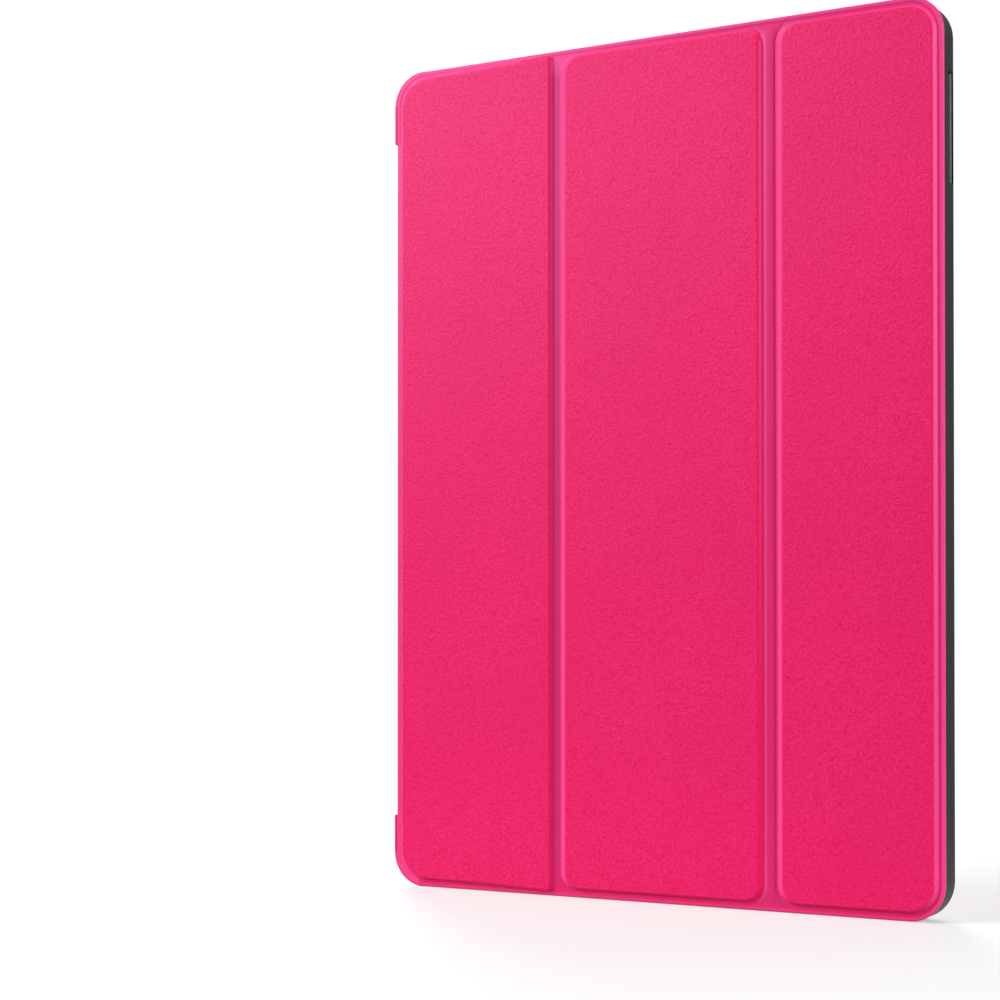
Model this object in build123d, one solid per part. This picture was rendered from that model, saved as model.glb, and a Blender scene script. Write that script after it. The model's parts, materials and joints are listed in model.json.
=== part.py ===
from build123d import *
import os

# Tri-fold folio case for a tablet: a hard shell the tablet snaps into, and a soft cover hinged along one
# long side.  It is stored closed and upright on a short edge: +Z runs up the long side, X goes from the
# spine (-X) to the cover's free edge (+X), and the cover faces -Y.  The origin is at the bottom centre.
# All lengths are in millimetres.

# ---------------------------------------------------------------- driving dimensions
TABLET_WIDTH = 169.5
TABLET_HEIGHT = 240.0
TABLET_FIT = 0.35                 # clearance all round the tablet
TABLET_CORNER = 10.0

CASE_HEIGHT = 246.0
SHELL_WIDTH = 173.2
SHELL_CORNER = 10.4
SHELL_BACK_ROUND = 1.2            # rounding of the shell's outer edge at the back
SHELL_RIM_ROUND = 0.4             # and at the rim
BACK_SKIN_INSET = 0.9             # the back skin stops this far inside the shell's outline
BACK_SKIN_ROUND = 0.5
COVER_HALF_WIDTH = 87.0           # free edge on one side, spine ears on the other
COVER_CORNER = 10.0

# Layers through the thickness, from the raised front of the cover to the back.
RAISE = 1.2                       # how far each panel's face stands out of the sheet around it
WEB_SKIN = 0.8
COVER_LINING = 0.6
COVER_GAP = 0.3                   # between the closed cover and the shell's rim
POCKET_DEPTH = 6.4
TRAY_LINING = 0.5
SHELL_BACK = 1.2
BACK_SKIN = 0.7

BOARD = 1.2
FOLD_SHEET = WEB_SKIN + COVER_LINING
END_MARGIN = 3.0                  # flat sheet above and below each panel's face
FLAP_OUTER_X = -86.2              # outer face of the spine flap
FLAP_BOARD = 0.4
SOFT_HALF = 1.3                   # half length of the soft strip at the two spine folds
CREASE_HALF = 0.9                 # half length of the soft strip between two panels

# Creases between the cover's panels, measured from the spine face.
CREASE_1_2 = 55.9
CREASE_2_3 = 123.5

# Wall openings of the shell: length left at each corner, at the rim and at the floor of the pocket.
SPINE_CORNER_RIM = 22.0
SPINE_CORNER_BACK = 28.0
SPINE_RIM_DROP = 0.9              # lower rim on the spine side, where the cover's ears swing past
EAR_LENGTH = 21.2                 # flat ends of the cover beside the front fold
EAR_ROUND = 0.7
FLAP_CLEARANCE = 0.8
END_CORNER_RIM = 20.0
END_CORNER_BACK = 24.0
VOLUME_SLOT_TOP = 19.7            # from the top of the case
VOLUME_SLOT_LENGTH = 29.8
VOLUME_SLOT_FRONT = 0.2           # Y of the slot's front side
LIP_REACH = 0.5                   # how far the corner lips hold over the tablet
LIP_DEPTH = 0.8
CAMERA_RADIUS = 6.5
CAMERA_FROM_RIGHT = 15.4          # hole centre from the shell's right side
CAMERA_FROM_TOP = 15.5

KEEPER_SIZE = (8.0, 0.5, 170.0)
KEEPER_FROM_EDGE = 11.2           # strip centre from the front fold line
MAGNET_SIZE = (6.0, 0.9, 30.0)
MAGNET_FROM_EDGE = 7.5
MAGNET_PITCH = 80.0
WAKE_RADIUS = 4.0
WAKE_HEIGHT = 163.0

# ---------------------------------------------------------------- derived levels and lines
THICKNESS = (RAISE + WEB_SKIN + COVER_LINING + COVER_GAP + POCKET_DEPTH
             + TRAY_LINING + SHELL_BACK + BACK_SKIN)
Y_FACE = -THICKNESS / 2
Y_WEB = Y_FACE + RAISE
Y_BOARD = Y_WEB + WEB_SKIN
Y_COVER = Y_BOARD + COVER_LINING
Y_RIM = Y_COVER + COVER_GAP
Y_FLOOR = Y_RIM + POCKET_DEPTH
Y_PLATE = Y_FLOOR + TRAY_LINING
Y_SKIN = Y_PLATE + SHELL_BACK
Y_BACK = Y_SKIN + BACK_SKIN

MID_Z = CASE_HEIGHT / 2
SHELL_X = SHELL_WIDTH / 2
POCKET_X = TABLET_WIDTH / 2 + TABLET_FIT
POCKET_HALF_Z = TABLET_HEIGHT / 2 + TABLET_FIT
POCKET_CORNER = TABLET_CORNER + TABLET_FIT

FLAP_MID_X = FLAP_OUTER_X + FOLD_SHEET / 2
FLAP_INNER_X = FLAP_OUTER_X + FOLD_SHEET
FLAP_SKIN_X = FLAP_OUTER_X + WEB_SKIN
BACK_FOLD_Y = Y_SKIN + BACK_SKIN / 2
FRONT_FOLD_Y = Y_WEB + FOLD_SHEET / 2
SPINE_X = FLAP_MID_X + SOFT_HALF  # where the stiff sheets beside the spine folds begin
CREASE_12_X = FLAP_OUTER_X + CREASE_1_2
CREASE_23_X = FLAP_OUTER_X + CREASE_2_3
FAR = 1.0                         # how far cutting solids run past what they cut


# ---------------------------------------------------------------- shape helpers
def outline(x0, x1, z0, z1, left_radius, right_radius):
    """Rectangle in X and Z with one radius for its left corners and one for its right corners."""
    shape = Pos((x0 + x1) / 2, (z0 + z1) / 2) * Rectangle(x1 - x0, z1 - z0)
    for side, radius in ((0, left_radius), (-1, right_radius)):
        if radius > 0:
            shape = fillet(shape.vertices().group_by(Axis.X)[side], radius)
    return shape


def at_level(shape, y):
    """An outline drawn in X and Z, placed at one level of the thickness."""
    return Plane((0, y, 0), x_dir=(1, 0, 0), z_dir=(0, -1, 0)) * shape


def plate(shape, y_front, y_back):
    """A flat sheet between two levels."""
    return extrude(at_level(shape, y_back), y_back - y_front)


def block(x0, x1, y0, y1, z0, z1):
    return Pos((x0 + x1) / 2, (y0 + y1) / 2, (z0 + z1) / 2) * Box(x1 - x0, y1 - y0, z1 - z0)


def centred(half_x, half_z, radius):
    return outline(-half_x, half_x, MID_Z - half_z, MID_Z + half_z, radius, radius)


def cover_prism():
    """Everything inside the cover's rounded outline, at every level."""
    return plate(centred(COVER_HALF_WIDTH, MID_Z, COVER_CORNER), Y_FACE - FAR, Y_RIM + FAR)


def spine_prism(x0, x1, margin):
    """The opening between the shell's two spine corners, its ends slanting, less a margin at each end."""
    reach = (SPINE_CORNER_BACK - SPINE_CORNER_RIM) / (Y_SKIN - Y_RIM)
    levels = (Y_FACE - FAR, Y_BACK + FAR)
    ends = [SPINE_CORNER_RIM + reach * (y - Y_RIM) + margin for y in levels]
    corners = [(levels[0], ends[0]), (levels[1], ends[1]),
               (levels[1], CASE_HEIGHT - ends[1]), (levels[0], CASE_HEIGHT - ends[0])]
    face = Plane((x0, 0, 0), x_dir=(0, 1, 0), z_dir=(1, 0, 0)) * Polygon(*corners, align=None)
    return extrude(face, x1 - x0)


def end_prism(z0, z1):
    """The opening in one short side of the shell, between its two corner pieces."""
    reach = (END_CORNER_BACK - END_CORNER_RIM) / POCKET_DEPTH
    levels = (Y_RIM - FAR, Y_SKIN)
    halves = [SHELL_X - END_CORNER_RIM - reach * (y - Y_RIM) for y in levels]
    corners = [(-halves[0], levels[0]), (halves[0], levels[0]),
               (halves[1], levels[1]), (-halves[1], levels[1])]
    return extrude(Plane((0, 0, z0)) * Polygon(*corners, align=None), z1 - z0)


def camera_hole(y_front, y_back):
    centre = Pos(SHELL_X - CAMERA_FROM_RIGHT, CASE_HEIGHT - CAMERA_FROM_TOP)
    return plate(centre * Circle(CAMERA_RADIUS), y_front - FAR, y_back + FAR)


# ---------------------------------------------------------------- shell
def back_shell():
    """Hard plastic tray: back plate, one long wall, four corner pieces and the lips at its corners."""
    shell = plate(centred(SHELL_X, MID_Z, SHELL_CORNER), Y_RIM, Y_SKIN)
    for side, radius in ((-1, SHELL_BACK_ROUND), (0, SHELL_RIM_ROUND)):
        shell = fillet(shell.faces().sort_by(Axis.Y)[side].edges(), radius)
    shell -= plate(centred(POCKET_X, POCKET_HALF_Z, POCKET_CORNER), Y_RIM - FAR, Y_PLATE)

    ring = plate(centred(POCKET_X, POCKET_HALF_Z, POCKET_CORNER), Y_RIM, Y_RIM + LIP_DEPTH)
    inner = centred(POCKET_X - LIP_REACH, POCKET_HALF_Z - LIP_REACH, POCKET_CORNER - LIP_REACH)
    ring -= plate(inner, Y_RIM - FAR, Y_RIM + LIP_DEPTH + FAR)
    shell += ring - block(-POCKET_X + END_CORNER_RIM, POCKET_X - END_CORNER_RIM,
                          Y_RIM - FAR, Y_FLOOR, -FAR, CASE_HEIGHT + FAR) \
        - block(-SHELL_X, SHELL_X, Y_RIM - FAR, Y_FLOOR,
                SPINE_CORNER_RIM, CASE_HEIGHT - SPINE_CORNER_RIM)

    shell -= spine_prism(-SHELL_X - FAR, SPINE_X, 0)
    shell -= block(-SHELL_X - FAR, SPINE_X, Y_RIM - FAR, Y_RIM + SPINE_RIM_DROP, -FAR, CASE_HEIGHT + FAR)
    end_notch = MID_Z - POCKET_HALF_Z
    shell -= end_prism(-FAR, end_notch) + end_prism(CASE_HEIGHT - end_notch, CASE_HEIGHT + FAR)
    shell -= block(POCKET_X - FAR, SHELL_X + FAR, VOLUME_SLOT_FRONT, Y_PLATE,
                   CASE_HEIGHT - VOLUME_SLOT_TOP - VOLUME_SLOT_LENGTH, CASE_HEIGHT - VOLUME_SLOT_TOP)
    return shell - camera_hole(Y_PLATE, Y_SKIN)


def back_skin():
    """Leather sheet glued over the whole back, its outer edge rounded."""
    shape = centred(SHELL_X - BACK_SKIN_INSET, MID_Z - BACK_SKIN_INSET, SHELL_CORNER - BACK_SKIN_INSET)
    skin = plate(shape, Y_SKIN, Y_BACK)
    skin = fillet(skin.faces().sort_by(Axis.Y)[-1].edges(), BACK_SKIN_ROUND)
    skin -= spine_prism(-SHELL_X - FAR, SPINE_X, 0)
    return skin - camera_hole(Y_SKIN, Y_BACK)


def tray_lining():
    """Microfibre sheet on the floor of the pocket, with a tongue in the volume slot."""
    lining = plate(centred(POCKET_X, POCKET_HALF_Z, POCKET_CORNER), Y_FLOOR, Y_PLATE)
    slot_top = CASE_HEIGHT - VOLUME_SLOT_TOP
    lining += block(POCKET_X - FAR, SHELL_X - LIP_REACH, Y_FLOOR, Y_PLATE,
                    slot_top - VOLUME_SLOT_LENGTH, slot_top)
    lining -= spine_prism(-SHELL_X - FAR, SPINE_X, 0)
    return lining - camera_hole(Y_FLOOR, Y_PLATE)


# ---------------------------------------------------------------- spine flap and soft folds
def flap_sheet(x0, x1, inset=0.0):
    """One layer of the spine flap, between the two spine folds and clear of the shell's corners."""
    sheet = spine_prism(x0, x1, FLAP_CLEARANCE + inset)
    return sheet & block(x0, x1, FRONT_FOLD_Y + SOFT_HALF + inset, BACK_FOLD_Y - SOFT_HALF - inset,
                         0, CASE_HEIGHT)


def spine_flap():
    board = flap_sheet(FLAP_SKIN_X - FLAP_BOARD, FLAP_SKIN_X, inset=FAR)
    return {"flap_skin": flap_sheet(FLAP_OUTER_X, FLAP_SKIN_X) - board,
            "flap_board": board,
            "flap_lining": flap_sheet(FLAP_SKIN_X, FLAP_INNER_X)}


def front_fold():
    """Soft bend between the flap and panel 1, between the ears of panel 1."""
    reach = flap_sheet(FLAP_OUTER_X, FLAP_INNER_X).bounding_box()
    flap_end = FRONT_FOLD_Y + SOFT_HALF
    ear_end = EAR_LENGTH + COVER_GAP
    bend = block(FLAP_OUTER_X, SPINE_X, Y_WEB, Y_COVER, ear_end, CASE_HEIGHT - ear_end)
    bend += block(FLAP_OUTER_X, FLAP_INNER_X, Y_COVER, flap_end, reach.min.Z, reach.max.Z)
    corner = bend.edges().filter_by(Axis.Z).group_by(Axis.Y)[0].sort_by(Axis.X)[0]
    bend = fillet(corner, FOLD_SHEET - COVER_LINING)
    inside = block(FLAP_SKIN_X, SPINE_X, Y_BOARD, flap_end, 0, CASE_HEIGHT)
    return {"front_fold_skin": bend - inside, "front_fold_lining": bend & inside}


def back_fold():
    """Soft bend between the back of the shell and the flap."""
    flap_end = BACK_FOLD_Y - SOFT_HALF
    between = spine_prism(FLAP_OUTER_X, SPINE_X, FLAP_CLEARANCE)
    skin = block(FLAP_OUTER_X, SPINE_X, Y_SKIN, Y_BACK, 0, CASE_HEIGHT)
    skin += block(FLAP_OUTER_X, FLAP_SKIN_X, flap_end, Y_SKIN, 0, CASE_HEIGHT)
    lining = block(FLAP_SKIN_X, FLAP_INNER_X, flap_end, Y_SKIN, 0, CASE_HEIGHT)
    lining += block(FLAP_INNER_X, SPINE_X, Y_SKIN - COVER_LINING, Y_SKIN, 0, CASE_HEIGHT)
    return {"back_fold_skin": skin & between, "back_fold_lining": lining & between}


def crease(name, x):
    """Soft strip between two panels of the cover, a skin in front of a lining."""
    low = COVER_GAP
    strip = (x - CREASE_HALF, x + CREASE_HALF)
    return {f"{name}_skin": block(*strip, Y_WEB, Y_BOARD, low, CASE_HEIGHT - low),
            f"{name}_lining": block(*strip, Y_BOARD, Y_COVER, low, CASE_HEIGHT - low)}


# ---------------------------------------------------------------- cover panels
def sheet_outline(x0, x1, has_ears):
    """Outline of one panel's flat sheet; panel 1 has an ear at each end, past the front fold."""
    shape = outline(x0, x1, 0, CASE_HEIGHT, 0, 0)
    if has_ears:
        ear = outline(-COVER_HALF_WIDTH, SPINE_X, -EAR_LENGTH, EAR_LENGTH, EAR_ROUND, 0)
        shape += ear + Pos(0, CASE_HEIGHT) * ear
    return shape


def panel(name, x0, x1, face, slopes, radii):
    """Skin, board and lining of one panel.

    x0 and x1 are where the soft folds beside it end.  face is where its raised front begins and ends,
    slopes the run of the slanting sides at left, right, top and bottom, radii the face's corners.
    """
    sheet = sheet_outline(x0, x1, has_ears=x0 == SPINE_X)
    inside = cover_prism()
    left, right, end = slopes
    edge = END_MARGIN
    foot = outline(face[0] - left, face[1] + right, edge - end, CASE_HEIGHT - edge + end,
                   radii[0] + left / 2, radii[1] + right / 2)
    top = outline(face[0], face[1], edge, CASE_HEIGHT - edge, *radii)
    raised = loft([at_level(foot, Y_WEB), at_level(top, Y_FACE)], ruled=True)
    board = plate(top, Y_BOARD - BOARD, Y_BOARD)
    skin = (plate(sheet, Y_WEB, Y_BOARD) & inside) + raised - board
    lining = plate(sheet, Y_BOARD, Y_COVER) & inside
    return {f"{name}_skin": skin, f"{name}_board": board, f"{name}_lining": lining}


def bury(nodes, board_name, insert_name, insert):
    """Set a small insert into a board, flush with the board's back."""
    nodes[board_name] -= insert
    nodes[insert_name] = insert


def cover():
    nodes = panel("panel_1", SPINE_X, CREASE_12_X - CREASE_HALF,
                  (FLAP_OUTER_X + 3.0, CREASE_12_X - 2.8), (1.2, 1.6, 1.0), (8.0, 0.8))
    nodes |= panel("panel_2", CREASE_12_X + CREASE_HALF, CREASE_23_X - CREASE_HALF,
                   (CREASE_12_X + 3.7, CREASE_23_X - 3.6), (2.7, 2.0, 1.0), (4.0, 4.0))
    nodes |= panel("panel_3", CREASE_23_X + CREASE_HALF, COVER_HALF_WIDTH,
                   (CREASE_23_X + 4.1, COVER_HALF_WIDTH - 2.9), (2.5, 1.6, 1.0), (4.5, 7.0))

    width, depth, length = KEEPER_SIZE
    keeper = Pos(FLAP_MID_X + KEEPER_FROM_EDGE, Y_BOARD - depth / 2, MID_Z) * Box(width, depth, length)
    bury(nodes, "panel_1_board", "keeper_strip", keeper)

    width, depth, length = MAGNET_SIZE
    magnet_x = COVER_HALF_WIDTH - MAGNET_FROM_EDGE
    for number, step in enumerate((-1, 0, 1), start=1):
        place = Pos(magnet_x, Y_BOARD - depth / 2, MID_Z + step * MAGNET_PITCH)
        bury(nodes, "panel_3_board", f"edge_magnet_{number}", place * Box(width, depth, length))
    disc = plate(Pos(magnet_x, WAKE_HEIGHT) * Circle(WAKE_RADIUS), Y_BOARD - depth, Y_BOARD)
    bury(nodes, "panel_3_board", "wake_magnet", disc)
    return nodes


# ---------------------------------------------------------------- assembly
def assembly():
    nodes = {"back_shell": back_shell(), "back_skin": back_skin(), "tray_lining": tray_lining()}
    nodes |= spine_flap()
    nodes |= back_fold()
    nodes |= front_fold()
    nodes |= crease("crease_1_2", CREASE_12_X)
    nodes |= crease("crease_2_3", CREASE_23_X)
    nodes |= cover()
    return nodes


os.makedirs("parts", exist_ok=True)
for node, shape in assembly().items():
    export_step(shape, f"parts/{node}.step")
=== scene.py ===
import json
import math

import bmesh
import bpy
from mathutils.geometry import tessellate_polygon
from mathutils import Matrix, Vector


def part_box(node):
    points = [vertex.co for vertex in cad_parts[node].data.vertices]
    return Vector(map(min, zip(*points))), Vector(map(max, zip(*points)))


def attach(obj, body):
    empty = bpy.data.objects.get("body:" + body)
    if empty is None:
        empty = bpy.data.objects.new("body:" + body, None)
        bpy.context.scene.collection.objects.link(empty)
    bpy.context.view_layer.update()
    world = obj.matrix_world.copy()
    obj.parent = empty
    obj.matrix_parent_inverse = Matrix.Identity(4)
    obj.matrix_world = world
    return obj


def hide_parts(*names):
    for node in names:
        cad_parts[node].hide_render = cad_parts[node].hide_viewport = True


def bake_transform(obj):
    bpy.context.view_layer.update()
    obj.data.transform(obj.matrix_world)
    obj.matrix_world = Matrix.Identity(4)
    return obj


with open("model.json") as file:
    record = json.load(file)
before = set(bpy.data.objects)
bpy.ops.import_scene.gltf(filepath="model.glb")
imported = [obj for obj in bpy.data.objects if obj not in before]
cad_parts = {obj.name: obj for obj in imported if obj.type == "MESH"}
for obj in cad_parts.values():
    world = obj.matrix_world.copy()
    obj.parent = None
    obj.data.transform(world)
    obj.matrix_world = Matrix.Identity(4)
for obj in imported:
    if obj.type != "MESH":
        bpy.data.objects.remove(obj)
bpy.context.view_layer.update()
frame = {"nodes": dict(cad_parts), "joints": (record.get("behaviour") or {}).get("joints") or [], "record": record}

# Looks of the tri-fold tablet case.  Shapes are worked out in millimetres from the frame's own boxes and
# turned into metres where a mesh is made.
MM = 0.001


# ---------------------------------------------------------------- sizes read from the frame
def span(node):
    """Lowest and highest corner of a CAD node, in millimetres."""
    low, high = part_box(node)
    return [v / MM for v in low], [v / MM for v in high]


Y_WEB, Y_BOARD = (corner[1] for corner in span("crease_1_2_skin"))
Y_COVER = span("crease_1_2_lining")[1][1]
Y_FACE = span("panel_2_skin")[0][1]
RAISE = Y_WEB - Y_FACE
TOP = span("panel_2_skin")[1][2]
COVER_HALF = span("panel_3_skin")[1][0]
SPINE_X = span("front_fold_skin")[1][0]
EAR_LENGTH = span("front_fold_skin")[0][2]
FLAP_OUTER_X, FLAP_SKIN_X = (corner[0] for corner in span("flap_skin"))
FLAP_INNER_X = span("flap_lining")[1][0]
FLAP_FRONT_Y, FLAP_BACK_Y = (corner[1] for corner in span("flap_skin"))
PLATE_Y, BACK_Y = span("tray_lining")[1][1], span("back_skin")[1][1]
SKIN_Y = span("back_skin")[0][1]
TRAY_Y = span("tray_lining")[0][1]
CREASE = {name: (span(name + "_skin")[0][0], span(name + "_skin")[1][0])
          for name in ("crease_1_2", "crease_2_3")}
JOINT = {joint["name"]: [v / MM for v in joint["pos_m"]] for joint in frame["joints"]}

COVER_CORNER = 10.0
RIM_ROUND = 0.5                   # rounding of the cover's cut edge
RIM_RISE = 0.08                   # soft bead just inside it
BEAD_FLAT, BEAD_FALL = 0.4, 0.7   # length of the bead's top, and of its fall to the margin
EAR_END = EAR_LENGTH - 0.3        # the CAD leaves this gap at the front fold; the leather is only slit there
EAR_STEP = 0.22                   # the ears lie this far below the cover's margin
LINING_INSET = 0.4                # the lining stops short of the leather's edge
LINING_EDGE = 0.3                 # lining thickness round the boards
LINING_SLOPE = 1.4                # run of its slope up to the boards
EAR_ROUND = 0.7                   # the ears' outer corner
EAR_SETTLE = 3.0                  # length over which the rows bend to it
EAR_TURN = 9.0                    # how far from the ends the ears turn from painted sheen to painted shade
ON_LINE = 0.02                    # slack when a corner is compared with a line
WELD = 0.002                      # corners closer than this are one
SHARP, STRIP_SHARP = 40, 50       # degrees between faces from which an edge is left sharp

# Each face's outline comes from its board.  Sides are named in the order left, right, top, bottom:
# slopes is the run of each slanting side, light and deep how much painted light and painted shade each side's
# slope gets.
# wider is how far the face reaches past the board at the right; past is how far its ends reach, at the left
# and at the right.
PANELS = {
    "panel_1": {"radii": (8.0, 0.8), "wider": 0.6, "past": (0.1, 1.2), "slopes": (1.0, 1.4, 0.9, 0.9),
                "light": (1.0, 0.0, 0.8, 0.0), "painted_shade": (0.0, 0.45, 0.0, 0.3)},
    "panel_2": {"radii": (4.0, 4.0), "wider": 0.0, "past": (0.0, 0.0), "slopes": (2.7, 1.5, 1.0, 1.0),
                "light": (1.0, 0.0, 0.45, 0.0), "painted_shade": (0.0, 0.0, 0.0, 0.4)},
    "panel_3": {"radii": (4.5, 7.0), "wider": 0.0, "past": (0.0, 0.0), "slopes": (2.4, 1.5, 1.0, 1.0),
                "light": (1.0, 1.0, 0.4, 0.0), "painted_shade": (0.0, 0.0, 0.0, 0.5)},
}
for panel_name, panel_shape in PANELS.items():
    panel_shape["low"], panel_shape["high"] = span(panel_name + "_board")

# Pressed lines at the foot of the two slopes beside the wider web.
GROOVE_2 = {"middle": 1.2, "half": 0.8, "depth": 0.12}
GROOVE_3 = {"middle": 2.6, "half": 0.7, "depth": 0.12}
CROWN = 0.1                       # the web between them stands a little proud
# Bands of painted highlight or painted shade: middle, measured from the edge each follows, and half the width.
VALLEY_BAND, FOOT_BAND, LINE_BAND = (1.4, 0.45), (1.95, 0.75), (2.8, 0.75)
CORNER_SHADE_REACH = 10.5                       # how far from panel 1's right end the painted shade on its top slope reaches


# ---------------------------------------------------------------- outlines and heights
def smooth_step(t):
    t = min(1.0, max(0.0, t))
    return t * t * (3 - 2 * t)


def ramp(t, soft=0.22):
    """0 to 1 in a straight slope with a little rounding at its foot and top."""
    t = min(1.0, max(0.0, t))
    if t > 0.5:
        return 1 - ramp(1 - t, soft)
    return t * t / (2 * soft * (1 - soft)) if t < soft else (t - soft / 2) / (1 - soft)


def inside(x, z, low, high, radii):
    """How far a point is inside a rounded rectangle, and the way out of it as (X part, Z part)."""
    centre_x, centre_z = (low[0] + high[0]) / 2, (low[1] + high[1]) / 2
    radius = radii[0] if x < centre_x else radii[1]
    reach_x = abs(x - centre_x) - (high[0] - low[0]) / 2 + radius
    reach_z = abs(z - centre_z) - (high[1] - low[1]) / 2 + radius
    if reach_x > 0 and reach_z > 0:
        reach = math.hypot(reach_x, reach_z)
        return radius - reach, (reach_x / reach, reach_z / reach)
    return radius - max(reach_x, reach_z), ((1.0, 0.0) if reach_x > reach_z else (0.0, 1.0))


def beside(name, x, z):
    """Distance outside a panel's face, and how much of the way out of it is left, right, top and bottom."""
    shape = PANELS[name]
    low, high = shape["low"], shape["high"]
    across = min(1.0, max(0.0, (x - low[0]) / (high[0] - low[0])))
    past = shape["past"][0] + (shape["past"][1] - shape["past"][0]) * across ** 2
    corners = (low[0], low[2] - past), (high[0] + shape["wider"], high[2] + past)
    depth, out = inside(x, z, *corners, shape["radii"])
    sideways, endways = out[0] ** 2, out[1] ** 2
    return -depth, (sideways * (across < 0.5), sideways * (across >= 0.5),
                    endways * (z > TOP / 2), endways * (z <= TOP / 2))


def weigh(shares, values):
    return sum(share * value for share, value in zip(shares, values))


def raised(x, z, run=None):
    """How far the leather is raised, 0 to 1, by which panel, and on which side of it the place is."""
    best = (0.0, "panel_2", (0, 0, 0, 0))
    for name, shape in PANELS.items():
        if shape["low"][0] - 4 < x < shape["high"][0] + 4:
            out, shares = beside(name, x, z)
            lift = ramp(1 - out / (run or weigh(shares, shape["slopes"])))
            best = max(best, (lift, name, shares))
    return best


def cover_depth(x, z):
    """How far inside the cover's outline a place is, leaving out the ears, and the way out of it."""
    return inside(x, z, (FLAP_OUTER_X, 0), (COVER_HALF, TOP), (COVER_CORNER, COVER_CORNER))


def rim(x, z):
    """Height of the cover's sheet near its cut edge: a rounded edge, a soft bead and a shallow valley."""
    depth, _ = cover_depth(x, z)
    if depth < 0 and x < 0:
        return -EAR_STEP
    depth = max(0.0, depth)
    if depth < RIM_ROUND:
        return RIM_RISE - RIM_ROUND + math.sqrt(RIM_ROUND ** 2 - (RIM_ROUND - depth) ** 2)
    return RIM_RISE * (1 - smooth_step((depth - RIM_ROUND - BEAD_FLAT) / BEAD_FALL))


def bump_at(value, middle, half):
    return 1 - smooth_step(abs(value - middle) / half)


def grooves(x, z):
    """Depth of the pressed lines beside the wider web, less the web's own crown."""
    left, right = PANELS["panel_2"]["high"][0], PANELS["panel_3"]["low"][0]
    if not left < x < right + 3:
        return 0.0
    total = 0.0
    for name, side, groove in (("panel_2", 1, GROOVE_2), ("panel_3", 0, GROOVE_3)):
        out, shares = beside(name, x, z)
        total += shares[side] * groove["depth"] * bump_at(out, groove["middle"], groove["half"])
    start, end = left + GROOVE_2["middle"], right - GROOVE_3["middle"]
    if start < x < end:
        across = 2 * (x - start) / (end - start) - 1
        total -= CROWN * (1 - across ** 2) * smooth_step((min(z, TOP - z) - 1.5) / 3)
    return total


def ear_tone(end):
    """The ears' painted sheen and painted light near the cover's rounded corner, giving way to painted shade away
    from it.
    """
    ear_shade = smooth_step((end - EAR_TURN) / 1.5)
    return {"painted_sheen": 1 - ear_shade, "smooth_and_painted_light": 1.0, "light": 0.5 * (1 - ear_shade), "painted_shade": 0.2 * ear_shade}


def tone(x, z):
    """How much painted sheen, smooth leather, painted light and painted shade the leather gets at one place."""
    lift, name, shares = raised(x, z)
    slope = smooth_step(6 * lift * (1 - lift))
    flat = 1 - lift
    depth, way = cover_depth(x, z)
    end = min(z, TOP - z)
    if depth < (0.15 if EAR_TURN < end < EAR_LENGTH else -0.05) and x < 0:
        return ear_tone(end)
    right = way[0] ** 2 if x > 0 else 0.0
    # Painted highlight on the bead, stronger on the right; painted shade in the valley, deeper towards the right;
    # painted highlight on the margin, strongest at the left and near the top.
    bead = (1 - smooth_step((depth - 0.75) / 0.35)) * flat
    valley = bump_at(depth, *VALLEY_BAND) * flat * (0.1 * right + 0.15 * smooth_step((x + 30) / 60))
    margin = flat * smooth_step((30 - x) / 90) * (1 if x < -78 else smooth_step((z - TOP + 8) / 3))
    out_2, shares_2 = beside("panel_2", x, z)
    out_3, shares_3 = beside("panel_3", x, z)
    # Painted highlight at the foot of panel 2's right slope; painted shade at the foot of panel 3's left slope and
    # top.
    foot = shares_2[1] * bump_at(out_2, *FOOT_BAND)
    foot_shade = (shares_3[0] + 0.5 * shares_3[2]) * bump_at(out_3, *LINE_BAND)
    # Painted shade on panel 1's top slope near its right corner, which also takes its painted light away.
    corner_shade = 0.0
    if name == "panel_1":
        corner_shade = shares[2] * slope * smooth_step((x - PANELS[name]["high"][0] + CORNER_SHADE_REACH) / 2)
    # Painted light and painted shade, gathered from the marks above.
    light = max(slope * weigh(shares, PANELS[name]["light"]), bead * (0.5 + 0.4 * right),
                0.8 * foot, 0.75 * margin)
    painted_shade = slope * weigh(shares, PANELS[name]["painted_shade"]) + valley + 0.3 * foot_shade + corner_shade
    in_web = PANELS["panel_2"]["high"][0] < x < PANELS["panel_3"]["low"][0]
    # Painted sheen: most on the wider web, less near the bottom end and on the right.
    share = 0.75 if in_web else (0.55 + 0.45 * smooth_step((z - 3) / 8)) * (1 - 0.4 * right)
    return {"painted_sheen": share * (1 - smooth_step(lift / 0.2)),
            "smooth_and_painted_light": 1 - smooth_step((lift - 0.85) / 0.15),
            "light": light * (1 - corner_shade),
            "painted_shade": min(1.0, painted_shade)}


def corner_drop(x, inset=0.0):
    """How far the cover's rounded outline falls away at one end."""
    radius = COVER_CORNER - inset
    reach = abs(x) - (COVER_HALF - inset - radius)
    return radius - math.sqrt(max(0.0, radius ** 2 - reach ** 2)) if reach > 0 else 0.0


def fine_steps():
    """Distances from an edge, closest together at its rounding and on the slope of a face."""
    steps = [RIM_ROUND * (1 - math.cos(math.radians(18 * k))) for k in range(6)]
    steps += [RIM_ROUND + 0.25 * k for k in range(1, 22)]
    return steps + [RIM_ROUND + 5.25 + 0.75 * k for k in range(1, 9)]


def spread(low, high, coarse=6.0):
    """Positions from low to high, close together near both ends."""
    near = fine_steps()
    first, last = low + near[-1], high - near[-1]
    steps = round((last - first) / coarse)
    inner = [first + (last - first) * k / steps for k in range(1, steps)]
    return [low + s for s in near] + inner + [high - s for s in reversed(near)]


def even(low, high, steps):
    return [low + (high - low) * k / steps for k in range(steps + 1)]


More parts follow.
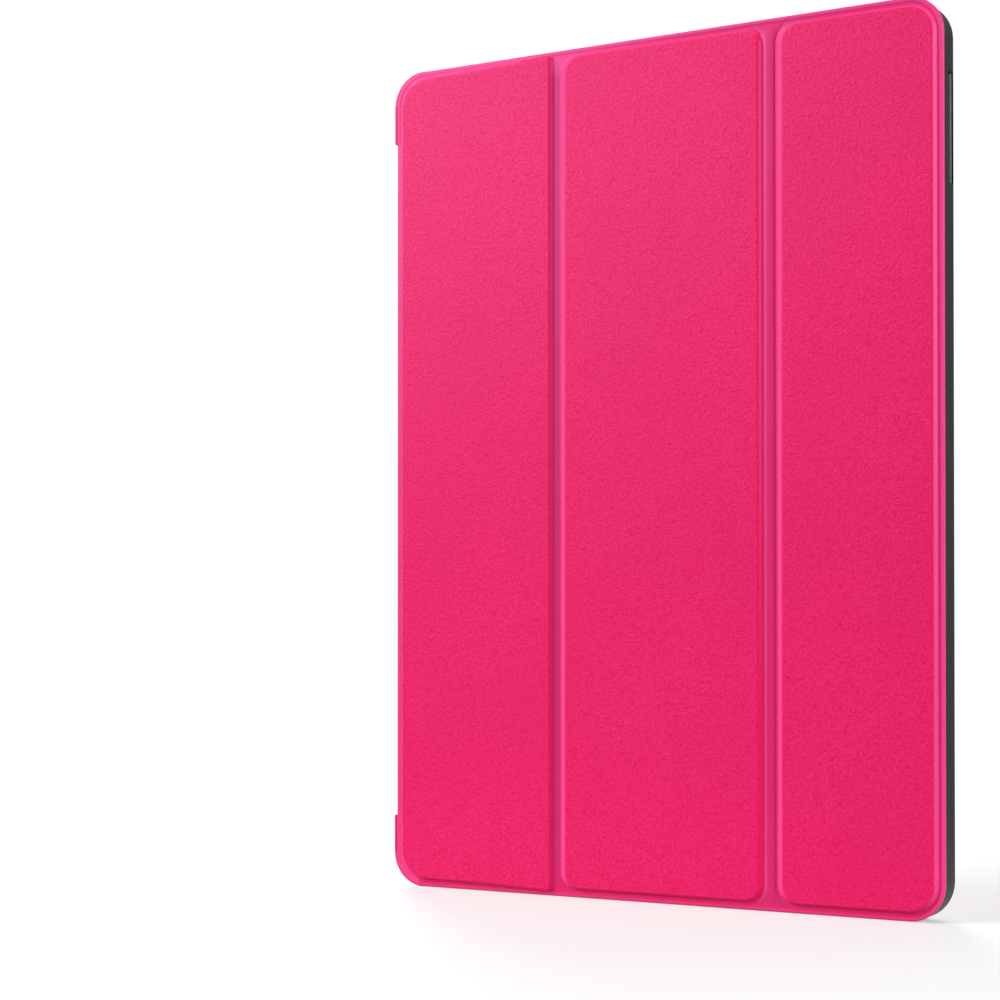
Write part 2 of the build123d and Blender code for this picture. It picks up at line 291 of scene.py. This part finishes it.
def ear_drop(x):
    """How far the ear's end falls away at its rounded outer corner."""
    depth = x + COVER_HALF
    return EAR_ROUND - math.sqrt(EAR_ROUND ** 2 - (EAR_ROUND - depth) ** 2) if depth < EAR_ROUND else 0.0


def rows(inset=0.0, with_ears=False):
    """For a column at x, its Z positions, bent to follow the cover's rounded corners."""
    settle = 20.0
    places = spread(inset, TOP - inset)
    if with_ears:
        near = [EAR_END - EAR_SETTLE * (1 - k / 6) for k in range(7)]
        keep_out = (EAR_END - EAR_SETTLE - 0.4, EAR_END + 0.4)
        places = [z for z in places if not keep_out[0] < min(z, TOP - z) < keep_out[1]]
        places = sorted(places + near + [TOP - z for z in near])

    def at(x):
        drop, ear = corner_drop(x, inset), ear_drop(x) if with_ears else 0.0
        bent = []
        for z in places:
            end = min(z, TOP - z)
            rise = drop * max(0.0, 1 - (end - inset) / settle)
            if EAR_END - EAR_SETTLE < end <= EAR_END:
                rise -= ear * (end - EAR_END + EAR_SETTLE) / EAR_SETTLE
            bent.append(z + rise if z < TOP / 2 else z - rise)
        return bent
    return at


# ---------------------------------------------------------------- mesh making
def finish_mesh(name, points, faces, material, sharp=SHARP):
    mesh = bpy.data.meshes.new(name)
    used = sorted({corner for face in faces for corner in face})
    place = {corner: k for k, corner in enumerate(used)}
    mesh.from_pydata([[v * MM for v in points[k]] for k in used], [], [[place[k] for k in f] for f in faces])
    shaping = bmesh.new()
    shaping.from_mesh(mesh)
    bmesh.ops.recalc_face_normals(shaping, faces=shaping.faces)
    shaping.to_mesh(mesh)
    shaping.free()
    mesh.materials.append(material)
    mesh.shade_smooth()
    mesh.set_sharp_from_angle(angle=math.radians(sharp))
    piece = bpy.data.objects.new(name, mesh)
    bpy.context.scene.collection.objects.link(piece)
    return piece


def mark(piece, name, values):
    """Stores one number per vertex, for the material to read."""
    piece.data.attributes.new(name, "FLOAT", "POINT").data.foreach_set("value", values)


def two_sided_sheet(name, columns, rows_at, front, back, material, keep=None):
    """A closed thin sheet over a grid in X and Z, its front and back given as functions.

    keep says which cells of the grid belong to the sheet, by their column and their middle's Z.
    """
    grid = [[(x, z) for z in rows_at(x)] for x in columns]
    along = len(grid[0])
    flat = [place for column in grid for place in column]
    half = len(flat)
    points = [(x, surface(x, z), z) for surface in (front, back) for x, z in flat]
    faces, border = [], {}
    for i in range(len(grid) - 1):
        for j in range(along - 1):
            if keep and not keep(columns[i], (grid[i][j][1] + grid[i][j + 1][1]) / 2):
                continue
            corner = i * along + j
            quad = [corner, corner + along, corner + along + 1, corner + 1]
            faces.append(quad)
            faces.append([half + k for k in reversed(quad)])
            for start, end in zip(quad, quad[1:] + quad[:1]):
                if border.pop((end, start), None) is None:
                    border[(start, end)] = True
    faces += [[end, start, half + start, half + end] for start, end in border]
    return finish_mesh(name, points, faces, material)


def turned_area(loop):
    """Twice a loop's area, below 0 where it runs clockwise."""
    return sum(a[0] * b[1] - b[0] * a[1] for a, b in zip(loop, loop[1:] + loop[:1]))


def outline_loops(node, axis, level):
    """Outlines of a CAD node's flat face at one level, the outer one anticlockwise and any hole clockwise."""
    cad = frame["nodes"][node]
    corners = [[v / MM for v in cad.matrix_world @ vertex.co] for vertex in cad.data.vertices]
    along = [k for k in range(3) if k != axis]
    border = {}
    for face in cad.data.polygons:
        if any(abs(corners[k][axis] - level) > 0.01 for k in face.vertices):
            continue
        ring = [tuple(round(corners[k][part], 3) for part in along) for k in face.vertices]
        for start, end in zip(ring, ring[1:] + ring[:1]):
            if border.get(end) and start in border[end]:
                border[end].remove(start)
            else:
                border.setdefault(start, []).append(end)
    loops = []
    while any(border.values()):
        start = min(place for place, following in border.items() if following)
        loop, here = [start], border[start].pop()
        while here != start:
            loop.append(here)
            here = border[here].pop()
        loops.append(loop)
    loops.sort(key=lambda loop: -abs(turned_area(loop)))
    return loops if turned_area(loops[0]) > 0 else [list(reversed(loop)) for loop in loops]


def inset_loop(loop, distance, reach):
    """A loop moved into its material by one distance, or what reach gives for an edge and that distance."""
    edges = []
    for start, end in zip(loop, loop[1:] + loop[:1]):
        length = math.dist(start, end)
        normal = ((start[1] - end[1]) / length, (end[0] - start[0]) / length)
        edges.append((normal, reach(start, end, distance)))
    moved = []
    for k, (u, v) in enumerate(loop):
        (a, reach_a), (b, reach_b) = edges[k - 1], edges[k]
        across = a[0] * b[1] - a[1] * b[0]
        if abs(across) > 0.02:
            moved.append((u + (reach_a * b[1] - reach_b * a[1]) / across,
                          v + (reach_b * a[0] - reach_a * b[0]) / across))
        else:
            share = max(reach_a, reach_b) / (1 + a[0] * b[0] + a[1] * b[1])
            moved.append((u + (a[0] + b[0]) * share, v + (a[1] + b[1]) * share))
    return moved


def moulded_sheet(name, node, axis, outline_at, levels, profile, reach, material, tones=()):
    """A flat glued sheet that keeps a CAD node's outline and has a worked edge on the side that shows.

    levels are its glued side and its shown side.  profile lists, from the edge inwards, each ring's distance
    from the edge and its depth below the shown side.  tones gives values of painted sheen, smooth leather and
    painted light for all but the last ring.
    """
    loops = outline_loops(node, axis, outline_at)
    toward = 1 if levels[1] > levels[0] else -1
    rings = [(0.0, levels[0])] + [(distance, levels[1] - toward * depth) for distance, depth in profile]
    points, faces, starts = [], [], []
    for distance, level in rings:
        starts.append(len(points))
        for loop in loops:
            for place in inset_loop(loop, distance, reach):
                points.append((place[0], level, place[1]) if axis == 1 else (level, *place))
    for first, second in zip(starts, starts[1:]):
        offset = 0
        for loop in loops:
            for k in range(len(loop)):
                a, b = offset + k, offset + (k + 1) % len(loop)
                faces.append([first + a, first + b, second + b, second + a])
            offset += len(loop)
    for start in (starts[0], starts[-1]):
        flat, rest = [], start
        for loop in loops:
            flat.append([points[rest + k] for k in range(len(loop))])
            rest += len(loop)
        faces += [[start + k for k in triangle] for triangle in tessellate_polygon(flat)]
    piece = finish_mesh(name, points, faces, material)
    for part, value in tones:
        mark(piece, part, [value if k < starts[-1] else 0.0 for k in range(len(points))])
    clean(piece)
    return piece


def clean(piece):
    """Welds points that fall on each other and drops what has no area."""
    shaping = bmesh.new()
    shaping.from_mesh(piece.data)
    bmesh.ops.remove_doubles(shaping, verts=shaping.verts, dist=WELD * MM)
    bmesh.ops.dissolve_degenerate(shaping, edges=shaping.edges, dist=WELD * MM)
    bmesh.ops.recalc_face_normals(shaping, faces=shaping.faces)
    shaping.to_mesh(piece.data)
    shaping.free()
    piece.data.set_sharp_from_angle(angle=math.radians(SHARP))


def strip(name, outline, low, high, material):
    """A closed outline in X and Y, drawn anticlockwise, run from low to high along Z."""
    count = len(outline)
    points = [(x, y, z) for z in (low, high) for x, y in outline]
    faces = [list(reversed(range(count))), list(range(count, 2 * count))]
    for k in range(count):
        faces.append([k, (k + 1) % count, count + (k + 1) % count, count + k])
    return finish_mesh(name, points, faces, material, sharp=STRIP_SHARP)


def arc(centre, radius, start, end, steps=8):
    """Points on an arc in X and Y, from one angle to another in degrees."""
    angles = [math.radians(start + (end - start) * k / steps) for k in range(steps + 1)]
    return [(centre[0] + radius * math.cos(a), centre[1] + radius * math.sin(a)) for a in angles]


# ---------------------------------------------------------------- materials
class Nodes:
    """Short ways to add and join the nodes of one material."""

    def __init__(self, name):
        self.material = bpy.data.materials.new(name)
        self.material.use_nodes = True
        self.tree = self.material.node_tree
        self.shader = self.tree.nodes["Principled BSDF"]
        self.place = self.tree.nodes.new("ShaderNodeTexCoord").outputs["Object"]

    def add(self, kind, **settings):
        node = self.tree.nodes.new(kind)
        for key, value in settings.items():
            setattr(node, key, value)
        return node

    def join(self, source, socket):
        self.tree.links.new(source, socket)

    def noise(self, scale, detail=2.0, distortion=0.0):
        node = self.add("ShaderNodeTexNoise")
        node.inputs["Distortion"].default_value = distortion
        node.inputs["Scale"].default_value = scale
        node.inputs["Detail"].default_value = detail
        self.join(self.place, node.inputs["Vector"])
        return node.outputs["Fac"]

    def pebbles(self, scale):
        node = self.add("ShaderNodeTexVoronoi", feature="SMOOTH_F1")
        node.inputs["Scale"].default_value = scale
        node.inputs["Smoothness"].default_value = 0.6
        self.join(self.place, node.inputs["Vector"])
        return node.outputs["Distance"]

    def stretch(self, value, low, high, to_low, to_high):
        node = self.add("ShaderNodeMapRange", clamp=True)
        for socket, number in zip(("From Min", "From Max", "To Min", "To Max"), (low, high, to_low, to_high)):
            node.inputs[socket].default_value = number
        self.join(value, node.inputs["Value"])
        return node.outputs["Result"]

    def math(self, operation, first, second):
        node = self.add("ShaderNodeMath", operation=operation)
        for value, socket in ((first, node.inputs[0]), (second, node.inputs[1])):
            if isinstance(value, (int, float)):
                socket.default_value = value
            else:
                self.join(value, socket)
        return node.outputs[0]

    def mix(self, amount, first, second, blend="MIX"):
        node = self.add("ShaderNodeMix", data_type="RGBA", blend_type=blend)
        if isinstance(amount, float):
            node.inputs["Factor"].default_value = amount
        else:
            self.join(amount, node.inputs["Factor"])
        for value, socket in ((first, node.inputs["A"]), (second, node.inputs["B"])):
            if isinstance(value, tuple):
                socket.default_value = (*value, 1.0)
            else:
                self.join(value, socket)
        return node.outputs["Result"]

    def attribute(self, name):
        return self.add("ShaderNodeAttribute", attribute_name=name).outputs["Fac"]

    def bump(self, height, distance, strength=1.0):
        node = self.add("ShaderNodeBump")
        node.inputs["Distance"].default_value = distance * MM
        if isinstance(strength, float):
            node.inputs["Strength"].default_value = strength
        else:
            self.join(strength, node.inputs["Strength"])
        self.join(height, node.inputs["Height"])
        self.join(node.outputs["Normal"], self.shader.inputs["Normal"])

    def set(self, **values):
        for name, value in values.items():
            self.shader.inputs[name.replace("_", " ")].default_value = value


def pink_leather():
    """Pebbled hot pink leather, smooth where it is pressed flat round the boards, with a painted purple sheen
    there and painted light and painted shade laid over its colour.
    """
    n = Nodes("pink_leather")
    ripple = n.noise(1350.0, 2.0, 1.0)
    pebble = n.pebbles(1500.0)
    grain = n.math("ADD", n.math("MULTIPLY", ripple, 0.75), n.math("MULTIPLY", pebble, 0.45))
    smooth_and_painted_light = n.attribute("smooth_and_painted_light")
    face = n.mix(n.stretch(grain, 0.35, 0.85, 0.0, 1.0), (0.81, 0.022, 0.14), (0.69, 0.0, 0.078))
    face = n.mix(n.stretch(n.noise(25.0, 3.0), 0.4, 0.7, 0.0, 0.3), face, (0.68, 0.005, 0.093))
    # Smooth leather takes a lighter red: real smoothness, and painted light on the slopes and margins.
    colour = n.mix(smooth_and_painted_light, face, (0.86, 0.006, 0.098))
    # Painted sheen: purple-pink where the pressed leather would reflect the white surroundings.
    colour = n.mix(n.attribute("painted_sheen"), colour, (0.6, 0.026, 0.15))
    # Painted highlight: lighter pink where slopes, beads and margins face the lamps.
    colour = n.mix(n.attribute("light"), colour, (0.88, 0.06, 0.25))
    # Painted shade: deeper red in valleys, at slope feet and on slopes turned from the lamps.
    colour = n.mix(n.attribute("painted_shade"), colour, (0.5, 0.01, 0.09))
    n.join(colour, n.shader.inputs["Base Color"])
    rough = n.mix(smooth_and_painted_light, n.stretch(grain, 0.35, 0.85, 0.4, 0.5), (0.36, 0.36, 0.36))
    n.join(rough, n.shader.inputs["Roughness"])
    n.bump(grain, 0.13, n.stretch(smooth_and_painted_light, 0.0, 1.0, 0.7, 0.06))
    n.set(Specular_IOR_Level=0.31)
    n.shader.inputs["Specular Tint"].default_value = (0.85, 0.4, 1.0, 1.0)
    return n.material


def grey_microfibre():
    n = Nodes("grey_microfibre")
    nap = n.noise(5200.0, 4.0)
    cloud = n.noise(60.0, 3.0)
    colour = n.mix(n.stretch(nap, 0.3, 0.7, 0.0, 1.0), (0.15, 0.15, 0.155), (0.25, 0.25, 0.255))
    colour = n.mix(n.stretch(cloud, 0.35, 0.65, 0.0, 0.35), colour, (0.22, 0.22, 0.23))
    n.join(colour, n.shader.inputs["Base Color"])
    n.join(n.stretch(nap, 0.3, 0.7, 0.82, 0.95), n.shader.inputs["Roughness"])
    n.bump(nap, 0.06, 0.5)
    n.set(Specular_IOR_Level=0.2, Sheen_Weight=0.35, Sheen_Roughness=0.5)
    return n.material


def shell_plastic():
    n = Nodes("shell_plastic")
    spark = n.noise(3800.0, 2.0)
    haze = n.noise(90.0, 3.0)
    colour = n.mix(n.stretch(haze, 0.35, 0.65, 0.0, 1.0), (0.008, 0.01, 0.0105), (0.013, 0.015, 0.0155))
    n.join(colour, n.shader.inputs["Base Color"])
    n.join(n.stretch(haze, 0.3, 0.7, 0.28, 0.36), n.shader.inputs["Roughness"])
    n.bump(spark, 0.02, 0.35)
    n.set(Specular_IOR_Level=0.3)
    return n.material


def stiff_board():
    n = Nodes("board")
    fibre = n.noise(900.0, 4.0)
    colour = n.mix(n.stretch(fibre, 0.3, 0.7, 0.0, 1.0), (0.42, 0.36, 0.27), (0.58, 0.52, 0.42))
    n.join(colour, n.shader.inputs["Base Color"])
    n.bump(fibre, 0.05, 0.4)
    n.set(Roughness=0.85)
    return n.material


def plain_metal(name, dark, light, roughness):
    n = Nodes(name)
    streak = n.noise(700.0, 4.0)
    n.join(n.mix(n.stretch(streak, 0.3, 0.7, 0.0, 1.0), dark, light), n.shader.inputs["Base Color"])
    n.join(n.stretch(streak, 0.3, 0.7, roughness, roughness + 0.12), n.shader.inputs["Roughness"])
    n.set(Metallic=1.0)
    return n.material


LEATHER, LINING = pink_leather(), grey_microfibre()
SLOT_MATERIALS = {
    "pink_leather": LEATHER,
    "grey_microfibre": LINING,
    "shell_plastic": shell_plastic(),
    "board": stiff_board(),
    "steel": plain_metal("steel", (0.5, 0.5, 0.5), (0.65, 0.65, 0.66), 0.3),
    "magnet": plain_metal("magnet", (0.6, 0.6, 0.62), (0.75, 0.75, 0.77), 0.2),
}


def dress_cad_nodes():
    """Every CAD node gets the procedural material of its slot."""
    for part in frame["record"]["subparts"]:
        for slot in frame["nodes"][part["node"]].material_slots:
            slot.link = "OBJECT"
            slot.material = SLOT_MATERIALS[part["material_slot"]]


# ---------------------------------------------------------------- cover
def leather_sheet(name, columns, keep=None):
    """One stretch of the cover's leather, of even thickness, with its share of the panels' raised faces."""
    def front(x, z):
        lift = raised(x, z)[0]
        return Y_WEB - (rim(x, z) - grooves(x, z)) * (1 - lift) - RAISE * lift

    def back(x, z):
        return Y_BOARD - RAISE * raised(x, z, run=0.5)[0]

    piece = two_sided_sheet(name, columns, rows(with_ears=keep is not None), front, back,
                            LEATHER, keep)
    # Stores the painted sheen, smoothness, painted light and painted shade of each vertex for the material.
    tones = [tone(v.co.x / MM, v.co.z / MM) for v in piece.data.vertices]
    for part in tones[0]:
        mark(piece, part, [entry[part] for entry in tones])
    return piece


def lining_sheet(name, columns, keep=None):
    """The lining behind the same stretch, thicker over the boards."""
    def back(x, z):
        return Y_BOARD + LINING_EDGE + (Y_COVER - Y_BOARD - LINING_EDGE) * raised(x, z, LINING_SLOPE)[0]

    return two_sided_sheet(name, columns, rows(LINING_INSET, with_ears=keep is not None),
                           lambda x, z: Y_BOARD, back, LINING, keep)


def in_ear_or_sheet(x, z):
    return x >= SPINE_X - 0.001 or min(z, TOP - z) < EAR_END


def cover_panels():
    edges = {"panel_1": (SPINE_X, CREASE["crease_1_2"][0]),
             "panel_2": (CREASE["crease_1_2"][1], CREASE["crease_2_3"][0]),
             "panel_3": (CREASE["crease_2_3"][1], COVER_HALF)}
    for panel, (x0, x1) in edges.items():
        columns, keep = spread(x0, x1), None
        trimmed = spread(x0, x1 - LINING_INSET) if panel == "panel_3" else columns
        if panel == "panel_1":
            keep = in_ear_or_sheet
            columns = even(-COVER_HALF, SPINE_X, 24)[:-1] + columns
            trimmed = even(-COVER_HALF + LINING_INSET, SPINE_X, 12)[:-1] + trimmed
        skin = leather_sheet(panel + "_leather", columns, keep)
        lining = lining_sheet(panel + "_microfibre", trimmed, keep)
        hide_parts(panel + "_skin")
        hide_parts(panel + "_lining")
        for piece in (skin, lining):
            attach(piece, panel)


def creases():
    """The thin strips between panels."""
    joints = {"crease_1_2": ("panel_1", "panel_2"), "crease_2_3": ("panel_2", "panel_3")}
    for name, (before, after) in joints.items():
        x0, x1 = CREASE[name]
        skin = leather_sheet(name + "_leather", even(x0, x1, 12))
        lining = lining_sheet(name + "_microfibre", even(x0, x1, 12))
        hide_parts(name + "_skin")
        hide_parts(name + "_lining")
        for piece in (skin, lining):
            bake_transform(piece)


# ---------------------------------------------------------------- spine
def front_fold():
    """Leather and lining bending from the flap to panel 1."""
    skin = Y_BOARD - Y_WEB
    turn = 0.7
    outer = [(FLAP_OUTER_X, FLAP_FRONT_Y)]
    outer += arc((FLAP_OUTER_X + turn, Y_WEB + turn), turn, 180, 270)
    outer += [(SPINE_X, Y_WEB), (SPINE_X, Y_BOARD)]
    outer += arc((FLAP_SKIN_X + turn / 2, Y_BOARD + turn / 2), turn / 2, 270, 180)
    leather = strip("front_fold_leather", outer + [(FLAP_SKIN_X, FLAP_FRONT_Y)],
                    EAR_END, TOP - EAR_END, LEATHER)
    # The fold's leather gets painted sheen and painted light all over, and is marked smooth.
    for part in ("painted_sheen", "smooth_and_painted_light"):
        mark(leather, part, [1.0] * len(leather.data.vertices))
    mark(leather, "light", [0.6] * len(leather.data.vertices))
    bend = 0.3
    inner = [(FLAP_SKIN_X, FLAP_FRONT_Y), (FLAP_SKIN_X, Y_BOARD + skin / 2),
             (FLAP_SKIN_X + skin / 2, Y_BOARD), (SPINE_X, Y_BOARD), (SPINE_X, Y_BOARD + LINING_EDGE)]
    inner += arc((FLAP_INNER_X + bend, Y_BOARD + LINING_EDGE + bend), bend, 270, 180)
    lining = strip("front_fold_microfibre", inner + [(FLAP_INNER_X, FLAP_FRONT_Y)],
                   EAR_END, TOP - EAR_END, LINING)
    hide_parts("front_fold_skin")
    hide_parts("front_fold_lining")
    x, y, _ = JOINT["front_fold"]
    for piece in (leather, lining):
        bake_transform(piece)


def back_fold():
    """The fold at the back edge, its leather and lining each in two halves that meet on the hinge line."""
    x, y, _ = JOINT["back_fold"]
    knuckle = (BACK_Y - SKIN_Y) / 2
    low, high = span("back_fold_skin")[0][2], span("back_fold_skin")[1][2]
    shell_half = [(SPINE_X, BACK_Y)] + arc((x, y), knuckle, 90, 180)
    shell_half += [(x, y), (x, SKIN_Y), (SPINE_X, SKIN_Y)]
    lip_half = [(SPINE_X, TRAY_Y), (x + 0.7, TRAY_Y + 0.5), (x + 0.1, SKIN_Y), (SPINE_X, SKIN_Y)]
    flap_half = [(FLAP_SKIN_X, FLAP_BACK_Y), (FLAP_SKIN_X - 0.1, y - 0.3), (x - knuckle, y),
                 (FLAP_OUTER_X, FLAP_BACK_Y + 0.4), (FLAP_OUTER_X, FLAP_BACK_Y)]
    inner_half = [(FLAP_INNER_X, FLAP_BACK_Y)] + arc((x, y), knuckle - 0.02, -30, 200)
    inner_half += [(FLAP_SKIN_X, FLAP_BACK_Y)]
    shell_leather = strip("back_fold_leather_shell", shell_half, low, high, LEATHER)
    shell_lining = strip("back_fold_microfibre_shell", lip_half, low, high, LINING)
    flap_leather = strip("back_fold_leather_flap", flap_half, low, high, LEATHER)
    flap_lining = strip("back_fold_microfibre_flap", inner_half, low, high, LINING)
    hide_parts("back_fold_skin")
    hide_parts("back_fold_lining")
    for piece, body in ((shell_leather, "shell"), (shell_lining, "shell"),
                        (flap_leather, "spine_flap"), (flap_lining, "spine_flap")):
        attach(piece, body)


# ---------------------------------------------------------------- glued sheets
def rounded(radius, steps=5):
    """The part of a profile that rounds a cut edge over."""
    angles = [math.radians(90 * k / steps) for k in range(steps + 1)]
    return [(radius * (1 - math.cos(a)), radius * (1 - math.sin(a))) for a in angles]


def pressed_line(start, width, depth, steps=6):
    """The part of a profile that presses a shallow line round the sheet."""
    return [(start + width * k / steps, depth * math.sin(math.pi * k / steps) ** 2) for k in range(steps + 1)]


def beyond_spine(outer):
    """Insets for a sheet whose corners reach outer, past the line where it carries on into the back fold."""
    def reach(start, end, distance):
        if max(start[0], end[0]) > SPINE_X + ON_LINE:
            return distance
        if abs(start[0] - SPINE_X) < ON_LINE and abs(end[0] - SPINE_X) < ON_LINE:
            return max(0.0, distance - (SPINE_X - outer))
        return 0.0 if abs(start[1] - end[1]) < ON_LINE else distance
    return reach


def beside_folds(start, end, distance):
    """Insets for the flap, which carries on into a fold along both long sides."""
    return 0.0 if abs(start[0] - end[0]) < ON_LINE and distance < 0.4 else distance


def back_and_tray():
    """Leather over the back and the microfibre floor of the tray."""
    leather = moulded_sheet("back_leather", "back_skin", 1, SKIN_Y, (SKIN_Y, BACK_Y),
                            rounded(0.55) + pressed_line(1.3, 0.9, 0.16) + [(2.6, 0.0)],
                            beyond_spine(span("back_skin")[0][0]), LEATHER,
                            # Its edge rings get painted sheen and painted light.
                            (("painted_sheen", 0.8), ("smooth_and_painted_light", 1.0), ("light", 0.35)))
    lining = moulded_sheet("tray_microfibre", "tray_lining", 1, TRAY_Y, (PLATE_Y, TRAY_Y),
                           rounded(0.2) + pressed_line(0.5, 1.0, 0.08),
                           beyond_spine(span("tray_lining")[0][0]), LINING)
    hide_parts("back_skin")
    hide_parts("tray_lining")
    for piece in (leather, lining):
        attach(piece, "shell")


def flap_sheets():
    """Leather and lining of the spine flap, with a pressed line beside each fold."""
    leather = moulded_sheet("flap_leather", "flap_skin", 0, FLAP_OUTER_X, (FLAP_SKIN_X, FLAP_OUTER_X),
                            rounded(0.3) + pressed_line(0.7, 0.7, 0.12) + [(1.6, 0.0)],
                            beside_folds, LEATHER,
                            # Its edge rings get painted sheen and painted light.
                            (("painted_sheen", 0.8), ("smooth_and_painted_light", 1.0), ("light", 0.2)))
    lining = moulded_sheet("flap_microfibre", "flap_lining", 0, FLAP_INNER_X, (FLAP_SKIN_X, FLAP_INNER_X),
                           rounded(0.15) + pressed_line(0.4, 0.6, 0.06),
                           beside_folds, LINING)
    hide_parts("flap_skin")
    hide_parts("flap_lining")
    for piece in (leather, lining):
        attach(piece, "spine_flap")


def declare_sheets():
    """Goes through each panel's leather and microfibre and lists the names of the strips beside it; nothing is
    kept.
    """

    reaches = {"panel_1": (-COVER_HALF, CREASE["crease_1_2"][0], ("front_fold", "crease_1_2")),
               "panel_2": (CREASE["crease_1_2"][1], CREASE["crease_2_3"][0], ("crease_2_3",)),
               "panel_3": (CREASE["crease_2_3"][1], COVER_HALF, ())}
    for panel, (x0, x1, folds) in reaches.items():
        for layer, inset in (("leather", 0.0), ("microfibre", LINING_INSET)):
            [f"{fold}_{layer}" for fold in folds]


# ---------------------------------------------------------------- floor, light and camera
def white_stage():
    """A pale floor that fades into the white background away from the case."""
    reach, steps, drop = 1.4, 64, 0.00005
    fade_start, fade_end = 0.09, 0.3
    ring = [(reach * math.cos(2 * math.pi * k / steps), reach * math.sin(2 * math.pi * k / steps), -drop)
            for k in range(steps)]
    mesh = bpy.data.meshes.new("floor")
    mesh.from_pydata(ring, [], [list(range(steps))])
    floor = bpy.data.objects.new("floor", mesh)
    bpy.context.scene.collection.objects.link(floor)
    n = Nodes("floor")
    n.join(n.mix(n.noise(3.0), (0.41, 0.44, 0.437), (0.43, 0.46, 0.457)), n.shader.inputs["Base Color"])
    n.set(Roughness=0.6, Specular_IOR_Level=0.15)
    distance = n.add("ShaderNodeVectorMath", operation="LENGTH")
    n.join(n.place, distance.inputs[0])
    path = n.add("ShaderNodeLightPath")
    as_light, as_seen = 0.12, 0.4
    glow = n.stretch(path.outputs["Is Camera Ray"], 0.0, 1.0, as_light, as_seen)
    n.join(glow, n.shader.inputs["Emission Strength"])
    n.shader.inputs["Emission Color"].default_value = (1.0, 1.0, 1.0, 1.0)
    clear = n.add("ShaderNodeBsdfTransparent")
    fade = n.add("ShaderNodeMixShader")
    n.join(n.stretch(distance.outputs["Value"], fade_start, fade_end, 0.0, 1.0), fade.inputs["Fac"])
    n.join(n.shader.outputs["BSDF"], fade.inputs[1])
    n.join(clear.outputs["BSDF"], fade.inputs[2])
    n.join(fade.outputs["Shader"], n.tree.nodes["Material Output"].inputs["Surface"])
    mesh.materials.append(n.material)


def white_world():
    """White background; a little dimmer as a light than it looks to the camera."""
    world = bpy.data.worlds.new("studio")
    bpy.context.scene.world = world
    world.use_nodes = True
    tree = world.node_tree
    background = tree.nodes["Background"]
    background.inputs["Color"].default_value = (1.0, 1.0, 1.0, 1.0)
    path = tree.nodes.new("ShaderNodeLightPath")
    level = tree.nodes.new("ShaderNodeMapRange")
    level.inputs["To Min"].default_value = 0.26
    level.inputs["To Max"].default_value = 1.05
    tree.links.new(path.outputs["Is Camera Ray"], level.inputs["Value"])
    tree.links.new(level.outputs["Result"], background.inputs["Strength"])


def soft_light(name, place, target, size, power):
    light = bpy.data.lights.new(name, "AREA")
    light.shape = "RECTANGLE"
    light.size, light.size_y = size
    light.energy = power
    lamp = bpy.data.objects.new(name, light)
    lamp.location = place
    lamp.visible_camera = False
    toward = bpy.data.objects.new(name + "_aim", None)
    toward.location = target
    for thing in (lamp, toward):
        bpy.context.scene.collection.objects.link(thing)
    aim = lamp.constraints.new("TRACK_TO")
    aim.target = toward
    aim.track_axis, aim.up_axis = "TRACK_NEGATIVE_Z", "UP_Y"


def camera():
    """Level with the lower part of the case, turned 31 degrees from square on."""
    view = bpy.data.cameras.new("camera")
    view.sensor_width = 36.0
    view.lens = 79.21
    view.shift_y = 0.0996
    eye = bpy.data.objects.new("camera", view)
    eye.location = (0.2851, -0.5615, 0.0788)
    eye.rotation_euler = (math.radians(90 + 0.651), 0, math.radians(31.009))
    bpy.context.scene.collection.objects.link(eye)
    bpy.context.scene.camera = eye


camera()
dress_cad_nodes()
cover_panels()
creases()
front_fold()
back_fold()
back_and_tray()
flap_sheets()
declare_sheets()
white_stage()
white_world()
soft_light("key", (-0.9, -0.85, 0.85), (0, 0, 0.2), (1.0, 1.0), 24.0)
soft_light("top", (0.0, -0.1, 1.3), (0, 0, 0.1), (1.2, 0.8), 2.5)
soft_light("fill", (1.2, -0.2, 0.5), (0, 0, 0.12), (0.7, 0.7), 12.0)
soft_light("back", (-0.75, 1.05, 0.6), (0, 0, 0.12), (0.7, 0.9), 14.0)
bpy.context.scene.view_settings.view_transform = "Standard"
